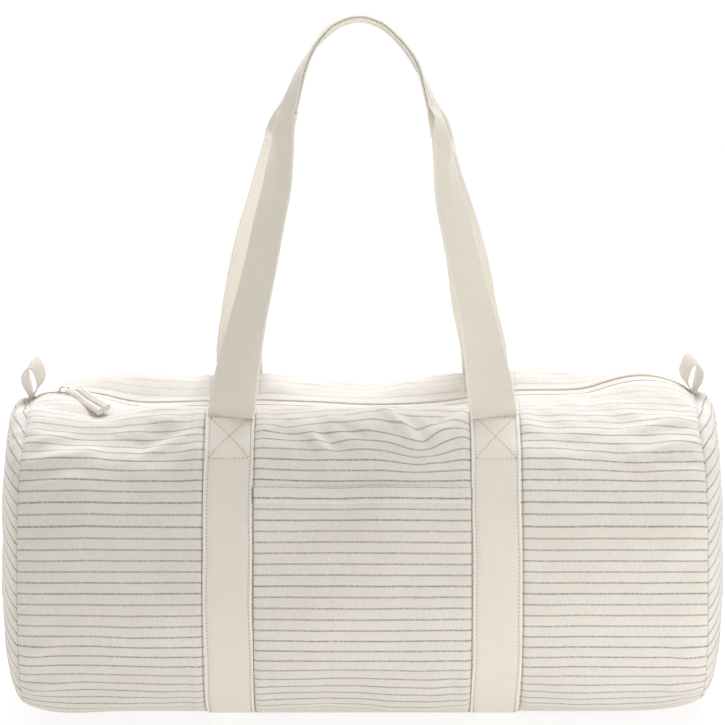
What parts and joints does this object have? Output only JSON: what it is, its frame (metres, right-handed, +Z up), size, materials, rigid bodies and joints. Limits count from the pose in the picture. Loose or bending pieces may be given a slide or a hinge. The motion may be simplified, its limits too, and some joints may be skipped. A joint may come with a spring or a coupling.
{
  "type": "weekender bag",
  "caption": "Barrel-shaped canvas weekender bag with a top zip, a front slip pocket, girth straps, two tall shoulder handles and looped end tabs.",
  "frame": {"origin": "on the floor under the middle of the bag: the centre of the bounding box's bottom face, level with the girth straps' undersides", "axes": "+X along the zip, to the right of somebody who faces the pocket; +Y from the pocket side to the back; +Z up"},
  "size_m": [0.5748, 0.2882, 0.555],
  "materials": {
    "striped_canvas": "undyed cotton canvas with thin woven grey-lilac stripes and small seed flecks",
    "plain_canvas": "undyed cotton canvas, plain, topstitched",
    "pocket_canvas": "the striped canvas with a folded and stitched hem",
    "zip_tape": "woven cream zip tape",
    "zip_coil": "tan nylon coil",
    "binding": "cotton twill seam tape",
    "nickel": "nickel-plated zinc, satin"
  },
  "bodies": {
    "bag": {"body_panel": "striped_canvas", "end_panel_left": "striped_canvas", "end_panel_right": "striped_canvas", "seam_binding_left": "binding", "seam_binding_right": "binding", "front_pocket": "pocket_canvas", "strap_left": "plain_canvas", "strap_right": "plain_canvas", "zip_tape_front": "zip_tape", "zip_tape_back": "zip_tape", "zip_coil_front": "zip_coil", "zip_coil_back": "zip_coil"},
    "front_handle": {"front_handle": "plain_canvas"},
    "back_handle": {"back_handle": "plain_canvas"},
    "left_tab": {"end_tab_left": "plain_canvas"},
    "right_tab": {"end_tab_right": "plain_canvas"},
    "slider": {"zip_slider": "nickel"},
    "pull": {"zip_pull": "nickel"},
    "puller": {"fabric_puller": "plain_canvas"}
  },
  "joints": [
    {"name": "front_handle_swing", "type": "hinge", "parent": "bag", "child": "front_handle", "pos_m": [0, -0.0728, 0.2405], "axis": [1, 0, 0], "range_deg": [0, 120]},
    {"name": "back_handle_swing", "type": "hinge", "parent": "bag", "child": "back_handle", "pos_m": [0, 0.0728, 0.2405], "axis": [-1, 0, 0], "range_deg": [0, 120]},
    {"name": "left_tab_flex", "type": "hinge", "parent": "bag", "child": "left_tab", "pos_m": [-0.266, 0, 0.2475], "axis": [0, 1, 0], "range_deg": [-45, 45], "stiffness_Nm_per_rad": 0.02},
    {"name": "right_tab_flex", "type": "hinge", "parent": "bag", "child": "right_tab", "pos_m": [0.266, 0, 0.2475], "axis": [0, 1, 0], "range_deg": [-45, 45], "stiffness_Nm_per_rad": 0.02},
    {"name": "zip_slide", "type": "slide", "parent": "bag", "child": "slider", "axis": [1, 0, 0], "range_m": [0, 0.474]},
    {"name": "pull_lift", "type": "hinge", "parent": "slider", "child": "pull", "pos_m": [-0.24, 0, 0.2469], "axis": [-0.788, -0.6157, 0], "range_deg": [0, 120]},
    {"name": "puller_fold", "type": "hinge", "parent": "pull", "child": "puller", "pos_m": [-0.23482, -0.00662, 0.24816], "axis": [-0.788, -0.6157, 0], "range_deg": [0, 60]}
  ]
}
